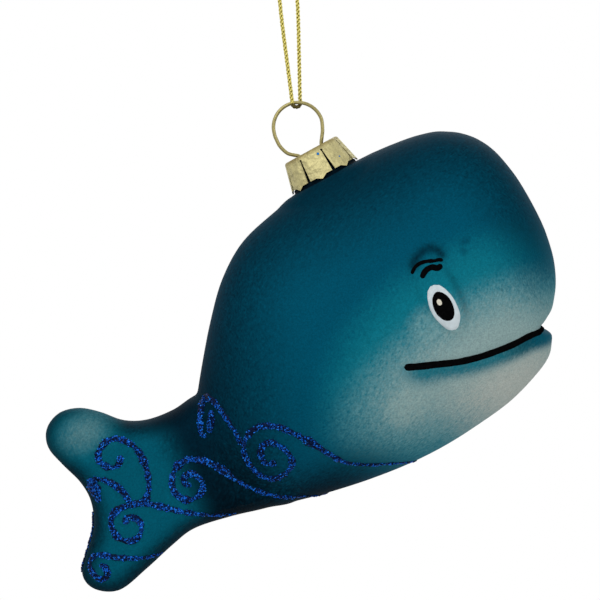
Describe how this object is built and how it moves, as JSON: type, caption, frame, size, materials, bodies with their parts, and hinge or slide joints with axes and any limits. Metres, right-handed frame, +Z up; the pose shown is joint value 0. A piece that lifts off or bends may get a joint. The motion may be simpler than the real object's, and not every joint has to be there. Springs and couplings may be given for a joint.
{
  "type": "hanging glass whale ornament",
  "caption": "Hollow blown-glass whale with a painted face and raised glitter scrolls, hung from a crown cap and wire bail by a knotted cord loop.",
  "frame": {"origin": "the point inside the top of the cord loop where a hook bears", "axes": "+Z straight up along the hanging cord, +X towards the whale's nose, -Y out of the whale's right side"},
  "size_m": [0.1298, 0.0594, 0.1658],
  "materials": {
    "lacquered_glass": "matte airbrushed lacquer",
    "gilt_sheet": "stamped, hammered, satin",
    "gilt_wire": "satin",
    "gold_cord": "braided metallic thread",
    "black_enamel": "gloss",
    "white_paint": "satin",
    "blue_glitter": "coarse glitter in clear glue"
  },
  "bodies": {
    "cord": {"cord_loop": "gold_cord", "cord_knot": "gold_cord"},
    "bail": {"bail": "gilt_wire"},
    "cap": {"cap": "gilt_sheet"},
    "shell": {"glass_shell": "lacquered_glass", "mouth_line": "black_enamel", "body_curl_left": "blue_glitter", "body_curl_right": "blue_glitter", "catch_light_left": "white_paint", "catch_light_right": "white_paint", "edge_line": "blue_glitter", "eye_white_left": "white_paint", "eye_white_right": "white_paint", "fluke_curl_left": "blue_glitter", "fluke_curl_right": "blue_glitter", "leaf_drop_left": "blue_glitter", "leaf_drop_right": "blue_glitter", "leaf_fill_left": "blue_glitter", "leaf_fill_right": "blue_glitter", "lobe_curl_left": "blue_glitter", "lobe_curl_right": "blue_glitter", "lower_brow_left": "black_enamel", "lower_brow_right": "black_enamel", "notch_curl_left": "blue_glitter", "notch_curl_right": "blue_glitter", "notch_fill_left": "blue_glitter", "notch_fill_right": "blue_glitter", "pupil_left": "black_enamel", "pupil_right": "black_enamel", "stem_curl_left": "blue_glitter", "stem_curl_right": "blue_glitter", "tail_line_left": "blue_glitter", "tail_line_right": "blue_glitter", "upper_brow_left": "black_enamel", "upper_brow_right": "black_enamel"}
  },
  "joints": [
    {"name": "ornament_swing", "type": "hinge", "parent": "cord", "child": "bail", "pos_m": [0, 0, -0.03986], "axis": [0, 1, 0], "range_deg": [-45, 45]},
    {"name": "bail_rock", "type": "hinge", "parent": "bail", "child": "cap", "pos_m": [0.00274, 0, -0.04589], "axis": [0.9107, 0, 0.4131], "range_deg": [-8, 8]},
    {"name": "cap_swivel", "type": "hinge", "parent": "cap", "child": "shell", "pos_m": [0.00274, 0, -0.04589], "axis": [-0.4131, 0, 0.9107], "continuous": true}
  ]
}
